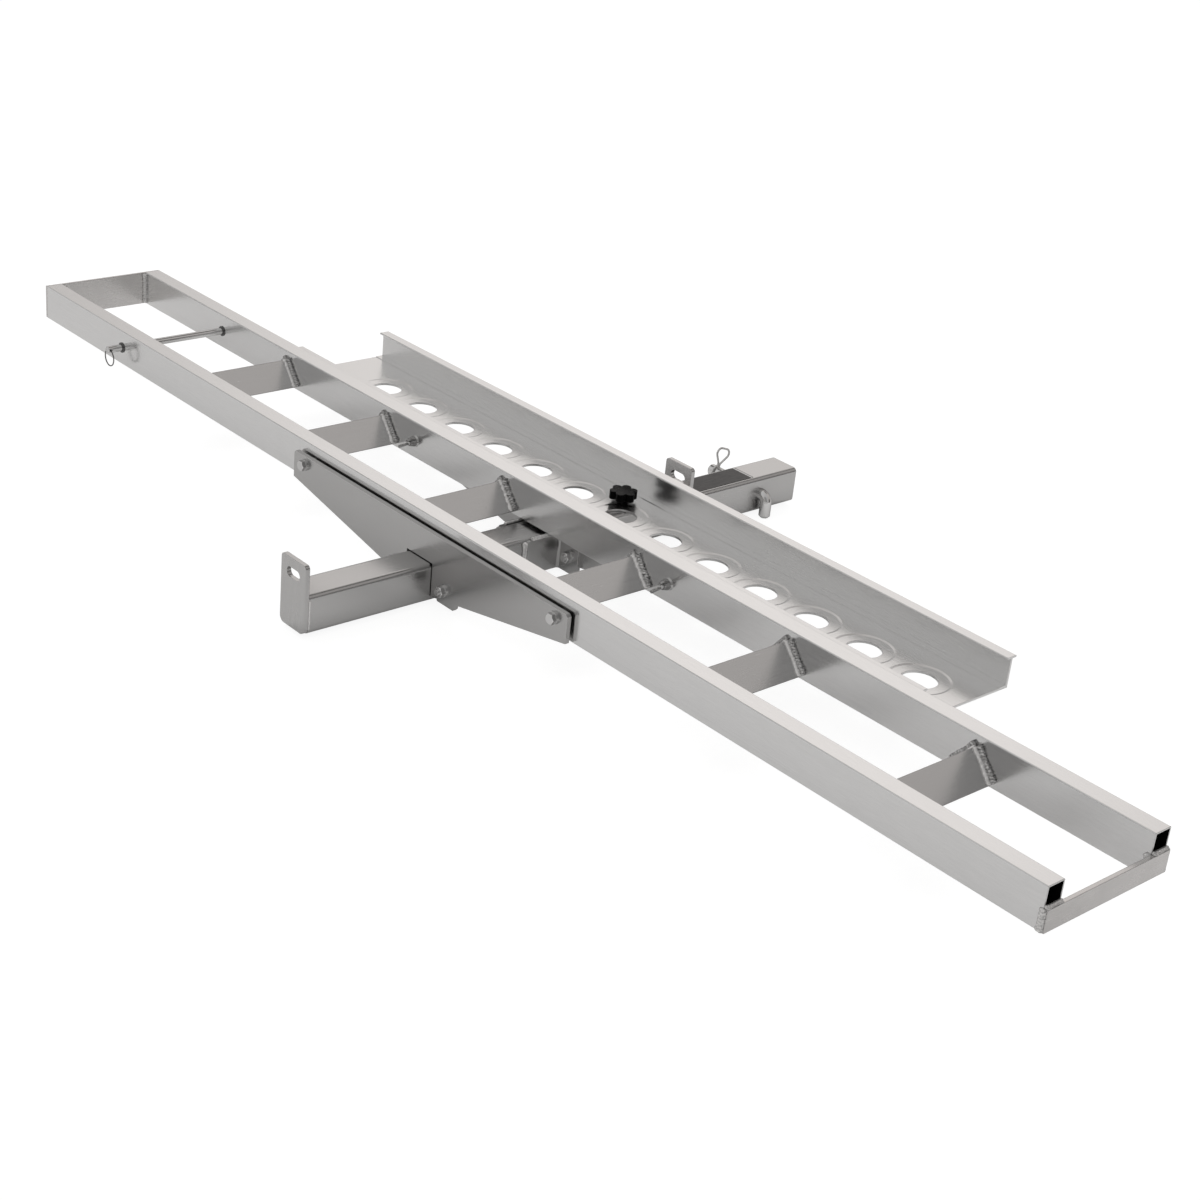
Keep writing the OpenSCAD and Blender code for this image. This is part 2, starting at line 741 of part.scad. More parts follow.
// Nut welded under the tube's top wall for the knob's stud
module knob_weld_nut() color(steel) {
  translate([0, knob_y, tube_top - tube_wall - nut_h]) difference() {
    cylinder(d = wing_af / cos(30), h = nut_h, $fn = 6);
    translate([0, 0, -1]) cylinder(r = stud_d / 2 + run_fit, h = nut_h + 2);
  }
}

// A sleeve through a rail with its collar on the -Y face
module sleeve(y) color(zinc) {
  translate([rod_x, y, rod_z]) difference() {
    union() {
      rod_y(sleeve_d, rail_t);
      translate([0, -collar_t, 0]) rod_y(collar_d, collar_t + eps);
    }
    translate([0, -collar_t - 1, 0]) rod_y(rod_d + 2 * run_fit, rail_t + collar_t + 2);
  }
}

module front_sleeve() sleeve(front_y);
module back_sleeve() sleeve(back_y - rail_t);

// Rod across the track, with a cross hole for its ring
module ramp_pin() color(zinc) {
  nose = 1;
  whole = rod_out + track_w + rod_through;
  translate([rod_x, front_y - rod_out, rod_z]) difference() {
    rotate([-90, 0, 0]) {
      cylinder(d1 = rod_d - 2 * nose, d2 = rod_d, h = nose);
      translate([0, 0, nose]) cylinder(d = rod_d, h = whole - 2 * nose);
      translate([0, 0, whole - nose]) cylinder(d1 = rod_d, d2 = rod_d - 2 * nose, h = nose);
    }
    translate([-rod_d, ring_in, 0]) rotate([0, 90, 0]) cylinder(d = ring_hole_d, h = 2 * rod_d);
  }
}

// Pull ring hanging in the rod's cross hole
module pull_ring() color(zinc) {
  translate([rod_x, ring_y, rod_z - ring_r]) rotate([90, 0, 0])
    rotate_extrude() translate([ring_r, 0]) circle(d = ring_wire, $fn = 24);
}

// Bent hitch pin: tail, straight part, bend and leg
module hitch_pin() color(zinc) {
  nose = 2.5;
  start = -tube_w / 2 - pin_tail;
  stop = tube_w / 2 + pin_stub;
  difference() {
    union() {
      translate([start, 0, 0]) rotate([0, 90, 0]) {
        cylinder(d1 = pin_d - 2 * nose, d2 = pin_d, h = nose);
        translate([0, 0, nose]) cylinder(d = pin_d, h = stop - start - nose);
      }
      translate([stop, 0, -pin_bend]) rotate([90, 0, 0])
        rotate_extrude(angle = 90) translate([pin_bend, 0]) circle(d = pin_d);
      translate([stop + pin_bend, 0, -pin_bend - pin_leg + nose]) cylinder(d = pin_d, h = pin_leg - nose);
      translate([stop + pin_bend, 0, -pin_bend - pin_leg])
        cylinder(d1 = pin_d - 2 * nose, d2 = pin_d, h = nose);
    }
    translate([clip_x, 0, 0]) rotate([-clip_lean, 0, 0]) translate([0, 0, -pin_d])
      cylinder(r = clip_wire / 2 + clip_gap, h = 2 * pin_d);
  }
}

// A wire in Y and Z, bent step by step from the origin and upwards
// Each run is a straight length, then a bend by its radius and its angle, where + turns towards +Y
// A bead too fine to feel joins each stretch to the next one
module bent_wire(d, runs, k = 0) {
  if (k < len(runs)) {
    run = runs[k][0];
    bend_r = runs[k][1];
    turn = runs[k][2];
    side = turn < 0 ? -1 : 1;
    start = k == 0 ? 0 : bead_gap;
    stop = turn == 0 ? run : run - bead_gap;
    skip = bead_gap / bend_r * 180 / PI;
    arc = abs(turn) - 2 * skip;
    if (run > 0) translate([0, 0, start]) cylinder(d = d, h = stop - start);
    if (run > 0 && turn != 0) translate([0, 0, run]) wire_bead(d);
    if (turn != 0) translate([0, 0, run]) {
      translate([0, side * bend_r, 0]) rotate([90, 0, 90])
        rotate(side < 0 ? skip : 180 - turn + skip) rotate_extrude(angle = arc)
          translate([bend_r, 0]) circle(d = d);
      translate([0, side * bend_r * (1 - cos(turn)), bend_r * sin(abs(turn))])
        rotate([-turn, 0, 0]) {
          wire_bead(d);
          bent_wire(d, runs, k + 1);
        }
    }
  }
}

// The bead: a disc hardly thicker than the wire, over the gap between two stretches
module wire_bead(d) {
  half = 2 * bead_gap;
  translate([0, 0, -half]) cylinder(d = d + bead_gap, h = 2 * half);
}

// Clip bent from one wire: a leg through the pin, a loop, and a leg that wraps round the pin
module hitch_clip() color(zinc) {
  hug = pin_d / 2 + clip_wire / 2 + clip_gap;
  throat = pin_d / 2 + clip_rise;
  foot = pin_d / 2 + clip_down;
  // Where the outer leg leaves its straight side, in Y and Z about the pin
  knee_y = -(hug + clip_bend) * cos(clip_wrap) + clip_bend * cos(clip_spread);
  knee_z = (hug + clip_bend) * sin(clip_wrap) + clip_bend * sin(clip_spread);
  both = (knee_y - clip_bend * (1 - cos(clip_spread)) + 2 * clip_loop * cos(clip_spread) + clip_flat)
    / sin(clip_spread);
  less = (knee_z - throat - clip_bend * sin(clip_spread)) / cos(clip_spread);
  translate([clip_x, 0, 0]) rotate([-clip_lean, 0, 0]) translate([0, 0, -foot]) bent_wire(clip_wire, [
    [foot + throat, clip_bend, clip_spread],
    [(both + less) / 2, clip_loop, -90 - clip_spread],
    [clip_flat, clip_loop, -90 - clip_spread],
    [(both - less) / 2, clip_bend, clip_spread + clip_wrap],
    [0, hug, -clip_wrap],
    [0, clip_bend * 2, clip_flare],
    [clip_tip, clip_bend, 0]]);
}

hitch_tube();
near_lug();
far_lug();
blank_label();
front_rail();
back_rail();
left_end_plate();
right_end_bar();
rung(0);  // rung_1
rung(1);  // rung_2
rung(2);  // rung_3
rung(3);  // rung_4
rung(4);  // rung_5
rung(5);  // rung_6
front_gusset();
rear_gusset();
bracket_front_left();
bracket_front_right();
bracket_rear_left();
bracket_rear_right();
bracket_bolts();
bracket_washers();
bracket_nuts();
end_bolts();
end_washers();
end_nuts();
gusset_spacers();
wing_bolts();
wing_jam_nuts();
wing_washers();
wing_nut_left();
wing_nut_right();
ramp();
star_knob();
knob_stud();
knob_weld_nut();
front_sleeve();
back_sleeve();
ramp_pin();
pull_ring();
hitch_pin();
hitch_clip();
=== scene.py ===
import math
import bpy
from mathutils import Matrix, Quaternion, Vector, noise


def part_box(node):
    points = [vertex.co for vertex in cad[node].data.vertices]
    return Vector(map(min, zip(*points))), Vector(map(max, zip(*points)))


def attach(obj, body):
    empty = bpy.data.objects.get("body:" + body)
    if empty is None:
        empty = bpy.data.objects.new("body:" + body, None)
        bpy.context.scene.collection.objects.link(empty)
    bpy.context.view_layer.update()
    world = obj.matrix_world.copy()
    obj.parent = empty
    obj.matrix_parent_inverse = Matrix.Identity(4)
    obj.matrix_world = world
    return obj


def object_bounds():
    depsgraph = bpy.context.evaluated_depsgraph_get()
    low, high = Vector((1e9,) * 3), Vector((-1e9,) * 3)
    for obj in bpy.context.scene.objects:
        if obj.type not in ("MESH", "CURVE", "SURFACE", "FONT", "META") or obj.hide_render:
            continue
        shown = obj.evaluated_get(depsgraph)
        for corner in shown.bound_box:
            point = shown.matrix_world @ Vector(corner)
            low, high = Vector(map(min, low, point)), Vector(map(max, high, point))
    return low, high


mm = 0.001

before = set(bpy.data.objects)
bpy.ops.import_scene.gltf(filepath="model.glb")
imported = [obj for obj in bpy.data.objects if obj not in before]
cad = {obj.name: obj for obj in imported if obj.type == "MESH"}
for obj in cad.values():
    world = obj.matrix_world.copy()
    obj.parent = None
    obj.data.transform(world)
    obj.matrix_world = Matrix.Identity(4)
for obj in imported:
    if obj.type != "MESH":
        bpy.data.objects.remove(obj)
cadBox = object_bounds()
print("frame loaded:", len(cad), "CAD nodes")


# Camera, standing where the photograph was taken from
cameraPlace = {
    "location": (1843.6 * mm, -2008.5 * mm, 1114.8 * mm),
    "aim": (225.8 * mm, -473.5 * mm, 40.0 * mm),
    "roll": 6.0,      # degrees
    "lens": 63.45,    # millimetres, as is the sensor's width
    "sensor": 36.0,
    "clip": (0.01, 100.0),
}


def addObject(name, data):
    made = bpy.data.objects.new(name, data)
    bpy.context.scene.collection.objects.link(made)
    return made


def makeCamera(place):
    data = bpy.data.cameras.new("photoCamera")
    data.sensor_width = place["sensor"]
    data.lens = place["lens"]
    data.clip_start, data.clip_end = place["clip"]
    camera = addObject("photoCamera", data)
    ahead = Vector(place["aim"]) - Vector(place["location"])
    camera.location = place["location"]
    camera.rotation_mode = "QUATERNION"
    tilt = Quaternion((0, 0, 1), math.radians(place["roll"]))
    camera.rotation_quaternion = ahead.to_track_quat("-Z", "Y") @ tilt
    bpy.context.scene.camera = camera


makeCamera(cameraPlace)
bpy.context.scene.view_settings.view_transform = "Standard"
print("camera made")


# Node helpers
def addNode(tree, kind, x, y, **values):
    made = tree.nodes.new(kind)
    made.location = (x, y)
    for name, value in values.items():
        setattr(made, name, value)
    return made


def feed(tree, socket, source):
    # source is another node's output, or a plain value
    if isinstance(source, bpy.types.NodeSocket):
        tree.links.new(source, socket)
    else:
        socket.default_value = source


def mathNode(tree, operation, x, y, first, second=0.0, clamp=False):
    made = addNode(tree, "ShaderNodeMath", x, y, operation=operation, use_clamp=clamp)
    feed(tree, made.inputs[0], first)
    feed(tree, made.inputs[1], second)
    return made.outputs[0]


def vectorNode(tree, operation, x, y, first, second=(0.0, 0.0, 0.0)):
    made = addNode(tree, "ShaderNodeVectorMath", x, y, operation=operation)
    feed(tree, made.inputs[0], first)
    feed(tree, made.inputs[1], second)
    return made


def fadeNode(tree, x, y, value, ends, levels=(0.0, 1.0)):
    # a smooth step of value between its two ends
    made = addNode(tree, "ShaderNodeMapRange", x, y, clamp=True, interpolation_type="SMOOTHSTEP")
    feed(tree, made.inputs["Value"], value)
    made.inputs["From Min"].default_value, made.inputs["From Max"].default_value = ends
    made.inputs["To Min"].default_value, made.inputs["To Max"].default_value = levels
    return made.outputs[0]


def mixColour(tree, x, y, amount, first, second):
    made = addNode(tree, "ShaderNodeMix", x, y, data_type="RGBA")
    feed(tree, made.inputs[0], amount)
    feed(tree, made.inputs[6], first)
    feed(tree, made.inputs[7], second)
    return made.outputs[2]


def newGroup(name, inputs, outputs):
    group = bpy.data.node_groups.new(name, "ShaderNodeTree")
    for title, kind, value in inputs:
        socket = group.interface.new_socket(name=title, in_out="INPUT", socket_type="NodeSocket" + kind)
        socket.default_value = value
    for title, kind in outputs:
        group.interface.new_socket(name=title, in_out="OUTPUT", socket_type="NodeSocket" + kind)
    start = addNode(group, "NodeGroupInput", -900, 0)
    end = addNode(group, "NodeGroupOutput", 900, 0)
    return group, start.outputs, end.inputs


def useGroup(tree, group, x, y, **values):
    made = addNode(tree, "ShaderNodeGroup", x, y, node_tree=group)
    for name, value in values.items():
        feed(tree, made.inputs[name], value)
    return made.outputs


grainForm = {
    "detail": 5.0,
    "fineShare": 0.62,          # how much the finer detail counts
    "cloudDetail": 3.0,
    "leastRoughness": 0.04,
}


# Lengthwise grain of rolled or extruded metal, with soft clouds in its tone
def makeGrainGroup(form):
    group, given, out = newGroup("metalGrain", [
        ("Colour", "Color", (0.7, 0.7, 0.7, 1.0)),
        ("Stretch", "Vector", (40.0, 700.0, 700.0)),
        ("Contrast", "Float", 0.1),
        ("Roughness", "Float", 0.25),
        ("Spread", "Float", 0.1),
        ("Clouds", "Float", 0.06),
        ("CloudScale", "Float", 9.0),
    ], [("Colour", "Color"), ("Roughness", "Float"), ("Height", "Float")])
    place = addNode(group, "ShaderNodeTexCoord", -900, 300).outputs["Object"]
    streaks = addNode(group, "ShaderNodeTexNoise", -500, 300)
    streaks.inputs["Scale"].default_value = 1.0
    streaks.inputs["Detail"].default_value = form["detail"]
    streaks.inputs["Roughness"].default_value = form["fineShare"]
    feed(group, streaks.inputs["Vector"],
         vectorNode(group, "MULTIPLY", -700, 300, place, given["Stretch"]).outputs[0])
    clouds = addNode(group, "ShaderNodeTexNoise", -500, 0)
    clouds.inputs["Detail"].default_value = form["cloudDetail"]
    feed(group, clouds.inputs["Vector"], place)
    feed(group, clouds.inputs["Scale"], given["CloudScale"])
    streak = mathNode(group, "SUBTRACT", -300, 300, streaks.outputs["Fac"], 0.5)
    cloud = mathNode(group, "SUBTRACT", -300, 0, clouds.outputs["Fac"], 0.5)
    tone = mathNode(group, "ADD", 0, 200,
                    mathNode(group, "MULTIPLY", -150, 300, streak, given["Contrast"]),
                    mathNode(group, "MULTIPLY", -150, 100, cloud, given["Clouds"]))
    shade = addNode(group, "ShaderNodeVectorMath", 300, 200, operation="SCALE")
    feed(group, shade.inputs[0], given["Colour"])
    feed(group, shade.inputs["Scale"], mathNode(group, "ADD", 150, 200, tone, 1.0))
    rough = mathNode(group, "ADD", 300, -100, given["Roughness"],
                     mathNode(group, "MULTIPLY", 150, -100,
                              mathNode(group, "ADD", 0, -100, streak, cloud), given["Spread"]))
    feed(group, out["Colour"], shade.outputs[0])
    feed(group, out["Roughness"], mathNode(group, "MAXIMUM", 450, -100, rough, form["leastRoughness"]))
    feed(group, out["Height"], streaks.outputs["Fac"])
    return group


edgeForm = {
    "band": (0.01, 0.22),    # how far the normal has rolled, as 1 less its cosine
    "samples": 4,
}


# Rounded edges: a mask along them, where light and shade are painted, and a normal that rolls over them
def makeEdgeGroup(form):
    group, given, out = newGroup("softEdge", [
        ("Width", "Float", 0.8 * mm),
    ], [("Mask", "Float"), ("Normal", "Vector")])
    rolled = addNode(group, "ShaderNodeBevel", -500, 100, samples=form["samples"])
    feed(group, rolled.inputs["Radius"], given["Width"])
    flat = addNode(group, "ShaderNodeNewGeometry", -500, -100).outputs["Normal"]
    same = vectorNode(group, "DOT_PRODUCT", -300, 0, rolled.outputs[0], flat).outputs["Value"]
    turned = mathNode(group, "SUBTRACT", -150, 0, 1.0, same)
    feed(group, out["Mask"], fadeNode(group, 0, 0, turned, form["band"]))
    feed(group, out["Normal"], rolled.outputs[0])
    return group


shadeSamples = 6


# Shade in narrow places: 1 where other surfaces stand close all round
def makeShadeGroup():
    group, given, out = newGroup("narrowShade", [
        ("Distance", "Float", 50.0 * mm),
    ], [("Mask", "Float")])
    around = addNode(group, "ShaderNodeAmbientOcclusion", -500, 0, samples=shadeSamples)
    feed(group, around.inputs["Distance"], given["Distance"])
    feed(group, out["Mask"], mathNode(group, "SUBTRACT", -300, 0, 1.0, around.outputs["AO"], clamp=True))
    return group


# The inside of a tube, where shade is painted: 1 where a point lies within Half of Centre, on every axis
def makeInsideGroup():
    group, given, out = newGroup("insideMask", [
        ("Centre", "Vector", (0.0, 0.0, 0.0)),
        ("Half", "Vector", (1.0, 1.0, 1.0)),
    ], [("Mask", "Float")])
    place = addNode(group, "ShaderNodeTexCoord", -900, 300).outputs["Object"]
    away = vectorNode(group, "ABSOLUTE", -500, 100,
                      vectorNode(group, "SUBTRACT", -700, 100, place, given["Centre"]).outputs[0]).outputs[0]
    left = addNode(group, "ShaderNodeSeparateXYZ", -100, 100)
    feed(group, left.inputs[0], vectorNode(group, "SUBTRACT", -300, 100, given["Half"], away).outputs[0])
    inside = [mathNode(group, "GREATER_THAN", 100, 200 - 100 * i, left.outputs[i], 0.0) for i in range(3)]
    both = mathNode(group, "MULTIPLY", 300, 150, inside[0], inside[1])
    feed(group, out["Mask"], mathNode(group, "MULTIPLY", 450, 100, both, inside[2]))
    return group


grainGroup = makeGrainGroup(grainForm)
edgeGroup = makeEdgeGroup(edgeForm)
insideGroup = makeInsideGroup()
shadeGroup = makeShadeGroup()


def colour(red, green, blue):
    return (red, green, blue, 1.0)


grainDepth = 0.1 * mm
shadeColour = colour(0.02, 0.019, 0.018)
# near black, painted as shade inside the tubes
paintedShadeInsideColour = colour(0.012, 0.012, 0.012)


def newMaterial(name):
    material = bpy.data.materials.new(name)
    material.use_nodes = True
    tree = material.node_tree
    shader = tree.nodes["Principled BSDF"]
    shader.location = (600, 0)
    tree.nodes["Material Output"].location = (900, 0)
    return material, tree, shader


def useGrain(tree, look):
    return useGroup(tree, grainGroup, -300, 0, Colour=look["colour"], Stretch=look["stretch"],
                    Contrast=look["contrast"], Roughness=look["roughness"], Spread=look["spread"],
                    Clouds=look["clouds"], CloudScale=look["cloudScale"])


def finishSurface(tree, shader, look, grain, edge, skin, rough):
    bump = addNode(tree, "ShaderNodeBump", 300, -300)
    bump.inputs["Strength"].default_value = look["bump"]
    bump.inputs["Distance"].default_value = grainDepth
    feed(tree, bump.inputs["Height"], grain["Height"])
    feed(tree, bump.inputs["Normal"], edge["Normal"])
    feed(tree, shader.inputs["Base Color"], skin)
    feed(tree, shader.inputs["Roughness"], rough)
    feed(tree, shader.inputs["Normal"], bump.outputs[0])


# A look may hold painted shade towards the outline of round pieces, a layer of painted light and shade for
# welds, shade in narrow places, painted shade inside tubes, and metallic, beside what every metal has
def metalFinish(name, look):
    material, tree, shader = newMaterial(name)
    grain = useGrain(tree, look)
    edge = useGroup(tree, edgeGroup, -300, -400, Width=look["edge"])
    # Painted light and shade along the edges: the edge colour is lighter than the skin on steel, zinc and
    # welds, and darker on the rails, rungs, end pieces and ramp
    skin = mixColour(tree, 0, 100, mathNode(tree, "MULTIPLY", -100, -300, edge["Mask"], look["paintedEdgeAmount"]),
                     grain["Colour"], look["paintedEdgeColour"])
    rough = grain["Roughness"]
    # Painted shade: the skin darkens towards the outline of round pieces, in place of the dark reflections
    # that round metal shows
    if "paintedRimShadeDepth" in look:
        facing = addNode(tree, "ShaderNodeLayerWeight", -100, 500)
        rim = mathNode(tree, "POWER", 50, 400, facing.outputs["Facing"], look["paintedRimShadeFall"])
        skin = mixColour(tree, 200, 400, mathNode(tree, "MULTIPLY", 50, 300, rim, look["paintedRimShadeDepth"]),
                         skin, look["paintedRimShadeColour"])
    # Welds: the skin is multiplied by a layer of painted light and shade, with random flecks
    if "paintedLightShadeAndFleckLayer" in look:
        tone = addNode(tree, "ShaderNodeAttribute", -300, 700, attribute_name=look["paintedLightShadeAndFleckLayer"])
        tinted = addNode(tree, "ShaderNodeVectorMath", 100, 500, operation="MULTIPLY")
        feed(tree, tinted.inputs[0], skin)
        feed(tree, tinted.inputs[1], tone.outputs["Color"])
        skin = tinted.outputs[0]
    if "shade" in look:
        near = useGroup(tree, shadeGroup, -300, -600, Distance=look["shadeReach"])["Mask"]
        skin = mixColour(tree, 100, 200, mathNode(tree, "MULTIPLY", 0, 300, near, look["shade"]),
                         skin, shadeColour)
    # Painted shade inside the rails and the tube: near black and rough within the inside box
    if "inside" in look:
        dark = useGroup(tree, insideGroup, 0, -300, Centre=look["inside"][0], Half=look["inside"][1])["Mask"]
        skin = mixColour(tree, 200, 100, dark, skin, paintedShadeInsideColour)
        rough = mathNode(tree, "ADD", 200, -100, rough, dark, clamp=True)
    finishSurface(tree, shader, look, grain, edge, skin, rough)
    shader.inputs["Metallic"].default_value = look.get("metallic", 1.0)
    return material


def dress(names, material):
    for name in names:
        cad[name].data.materials.clear()
        cad[name].data.materials.append(material)


# Aluminium of the wheel track
railLook = {
    "colour": colour(0.80, 0.797, 0.793),
    "stretch": (45.0, 520.0, 520.0),     # grain along the rails
    "contrast": 0.16,
    "roughness": 0.2,
    "spread": 0.12,
    "clouds": 0.05,
    "cloudScale": 5.0,
    "edge": 1.3 * mm,
    # a painted dark line along the edges
    "paintedEdgeColour": colour(0.4, 0.395, 0.39),
    "paintedEdgeAmount": 0.75,
    "bump": 0.12,
}
wallInside = 1.6 * mm    # a little less than the rails' wall


# The box inside a rail, where shade is painted
def railInside(name):
    low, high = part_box(name)
    middle = (low + high) / 2
    half = (high - low) / 2
    return (tuple(middle), (half.x + mm, half.y - wallInside, half.z - wallInside))


for railName in ("front_rail", "back_rail"):
    dress([railName], metalFinish(railName + "_aluminium", dict(railLook, inside=railInside(railName))))
rungLook = dict(railLook, stretch=(520.0, 30.0, 520.0), colour=colour(0.76, 0.755, 0.75), roughness=0.24,
                contrast=0.09, bump=0.05)
dress(["rung_%d" % (i + 1) for i in range(6)], metalFinish("rung_aluminium", rungLook))
endLook = dict(railLook, stretch=(520.0, 45.0, 520.0), colour=colour(0.68, 0.665, 0.655), roughness=0.26,
               clouds=0.25, cloudScale=30.0)
dress(["left_end_plate", "right_end_bar"], metalFinish("end_aluminium", endLook))

# Aluminium of the ramp
rampLook = dict(railLook, colour=colour(0.8, 0.797, 0.793), roughness=0.24, contrast=0.1,
                paintedEdgeColour=colour(0.62, 0.615, 0.61), paintedEdgeAmount=0.4, edge=0.8 * mm)
dress(["ramp"], metalFinish("ramp_aluminium", rampLook))

# Plated steel of the shank, its lugs, the gusset plates and their brackets
shankLook = {
    "colour": colour(0.56, 0.555, 0.55),
    "stretch": (420.0, 30.0, 420.0),     # grain along the tube
    "contrast": 0.09,
    "roughness": 0.25,
    "spread": 0.1,
    "clouds": 0.05,
    "cloudScale": 9.0,
    "edge": 1.0 * mm,
    "paintedEdgeColour": colour(0.72, 0.71, 0.70),
    "paintedEdgeAmount": 0.6,
    "bump": 0.1,
}
tubeLow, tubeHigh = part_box("hitch_tube")
tubeBore = 22.0 * mm    # half of the bore, a little more than the real one
tubeInside = (tuple((tubeLow + tubeHigh) / 2), (tubeBore, (tubeHigh.y - tubeLow.y) / 2 + mm, tubeBore))
# painted shade in the tube's bore, beside the shade in narrow places
tubeLook = dict(shankLook, inside=tubeInside, shade=0.35, shadeReach=36.0 * mm)
dress(["hitch_tube", "knob_weld_nut"], metalFinish("shank_steel", tubeLook))
lugLook = dict(shankLook, stretch=(260.0, 260.0, 30.0), contrast=0.2)
dress(["near_lug", "far_lug"], metalFinish("lug_steel", lugLook))
plateLook = dict(shankLook, stretch=(30.0, 420.0, 420.0), roughness=0.22, colour=colour(0.52, 0.515, 0.51))
dress(["front_gusset", "rear_gusset", "bracket_front_left", "bracket_front_right",
       "bracket_rear_left", "bracket_rear_right"], metalFinish("plate_steel", plateLook))

# Bright zinc of everything that is bolted or drawn
zincLook = {
    "colour": colour(0.8, 0.795, 0.79),
    "stretch": (300.0, 300.0, 300.0),
    "contrast": 0.12,
    "roughness": 0.1,
    "spread": 0.1,
    "clouds": 0.12,
    "cloudScale": 60.0,
    "edge": 0.5 * mm,
    # a painted highlight along the edges
    "paintedEdgeColour": colour(0.9, 0.9, 0.89),
    "paintedEdgeAmount": 0.5,
    "paintedRimShadeColour": colour(0.07, 0.07, 0.07),    # painted shade: round pieces darken towards their outline
    "paintedRimShadeDepth": 0.9,
    "paintedRimShadeFall": 2.2,
    "bump": 0.06,
}
zincNodes = ["bracket_bolts", "bracket_washers", "bracket_nuts", "end_bolts", "end_washers", "end_nuts",
             "gusset_spacers", "wing_bolts", "wing_jam_nuts", "wing_washers", "knob_stud", "ramp_pin",
             "hitch_pin", "hitch_clip"]
zinc = metalFinish("bright_zinc", zincLook)
dress(zincNodes, zinc)
castZinc = dict(zincLook, colour=colour(0.42, 0.415, 0.41), contrast=1.4, bump=0.6, edge=0.8 * mm,
                paintedEdgeAmount=0.8, paintedRimShadeFall=1.3)
dress(["wing_nut_left", "wing_nut_right"], metalFinish("cast_zinc", castZinc))
darkZinc = dict(zincLook, colour=colour(0.2, 0.195, 0.19))
dress(["pull_ring"], metalFinish("ring_wire", darkZinc))
sleeveLook = dict(darkZinc, colour=colour(0.1, 0.1, 0.1))
dress(["front_sleeve", "back_sleeve"], metalFinish("sleeve_steel", sleeveLook))
print("metals done")


# Black plastic and the blank label
def plasticFinish(name, look):
    material, tree, shader = newMaterial(name)
    grain = useGrain(tree, look)
    edge = useGroup(tree, edgeGroup, -300, -400, Width=look["edge"])
    skin = grain["Colour"]
    if "strip" in look:
        strip = useGroup(tree, insideGroup, 0, -300, Centre=look["strip"][0], Half=look["strip"][1])["Mask"]
        skin = mixColour(tree, 200, 100, strip, skin, look["stripColour"])
    # Painted light and shade along the edges: the edge colour is lighter than the knob and darker than the
    # label
    skin = mixColour(tree, 300, 100, mathNode(tree, "MULTIPLY", 200, -100, edge["Mask"], look["paintedEdgeAmount"]),
                     skin, look["paintedEdgeColour"])
    finishSurface(tree, shader, look, grain, edge, skin, grain["Roughness"])
    shader.inputs["Specular IOR Level"].default_value = look["shine"]
    return material


knobLook = {
    "shine": 0.05,
    "colour": colour(0.003, 0.003, 0.003),
    "edge": 1.2 * mm,
    # a painted highlight along the knob's edges
    "paintedEdgeColour": colour(0.07, 0.07, 0.072),
    "paintedEdgeAmount": 0.8,
    "stretch": (900.0, 900.0, 900.0),
    "contrast": 0.5,
    "roughness": 0.24,
    "spread": 0.2,
    "clouds": 0.3,
    "cloudScale": 90.0,
    "bump": 0.35,
}
dress(["star_knob"], plasticFinish("knob_plastic", knobLook))
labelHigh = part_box("blank_label")[1]
stripMiddle = (0.0, labelHigh.y - 2.7 * mm, labelHigh.z)
stripHalf = (labelHigh.x + mm, 1.5 * mm, mm)
labelLook = {
    "edge": 0.2 * mm,
    "paintedEdgeColour": colour(0.02, 0.02, 0.02),
    "paintedEdgeAmount": 0.3,
    "strip": (stripMiddle, stripHalf),    # light, across its far end
    "stripColour": colour(0.62, 0.61, 0.6),
    "shine": 0.2,
    "colour": colour(0.045, 0.043, 0.042),
    "stretch": (900.0, 45.0, 900.0),
    "contrast": 4.5,
    "roughness": 0.35,
    "spread": 0.25,
    "clouds": 1.5,
    "cloudScale": 60.0,
    "bump": 0.2,
}
dress(["blank_label"], plasticFinish("label_film", labelLook))
print("plastics done")


# Weld beads: a fillet swept between two faces, with stacked ripples, and a layer of painted light and shade
# over them. What all beads have in common:
beadForm = {
    "seed": (91.7, 50.0),             # scale of the place that it comes from, and its spread
    "endReach": 0.6,                  # part of the first leg over which an end swells to its full size
    "endSize": 0.35,
    "wander": (0.16, 260.0),          # share of its size, and fineness along it
    "rims": ((0.13, 0.09, 1.0), (0.74, 0.15, 1.3)),    # place across, width, height
    "archPower": 0.7,
    "rippleBend": 0.8,                # how far a ripple runs ahead in the bead's middle, in ripples
    "ripplePower": 0.6,
    "roughness": (420.0, 5.0, 7.0),   # fineness along it and across, and what is added to the seed
    "flecks": (700.0, 9.0, 3.0),
    "rootDepth": 0.3,
    # painted shade at the bead's root, in the corner
    "paintedRootShade": 0.5,
    # painted light: the level of the lit parts, above the bead's own colour
    "toneTop": 1.12,
    "toneLimits": (0.08, 1.15),
    "crestLight": 0.7,                # share of the painted shade that a ripple's crest is spared
    "darkAhead": 0.15,                # the painted shade follows the ripples, this far across from them
    "fleckAhead": 0.2,
}


# Size of a bead along its run, as a share of its legs
def beadSize(look, form, travel, length, step, nearEnd, seed):
    reach = min(nearEnd * step / (form["endReach"] * look["legs"][0]), 1.0)
    swell = form["endSize"] + (1.0 - form["endSize"]) * math.sqrt(1.0 - (1.0 - reach) ** 2)
    if look.get("openStart") and travel < length / 2:
        swell = 1.0
    startBlob = look["startBlob"] * math.exp(-(travel / look["legs"][0]) ** 2)
    endBlob = look["endBlob"] * math.exp(-((length - travel) / look["legs"][0]) ** 2)
    wander = form["wander"][0] * noise.noise(Vector((travel * form["wander"][1], seed, 0.0)))
    return swell * (1.0 + wander + startBlob + endBlob)


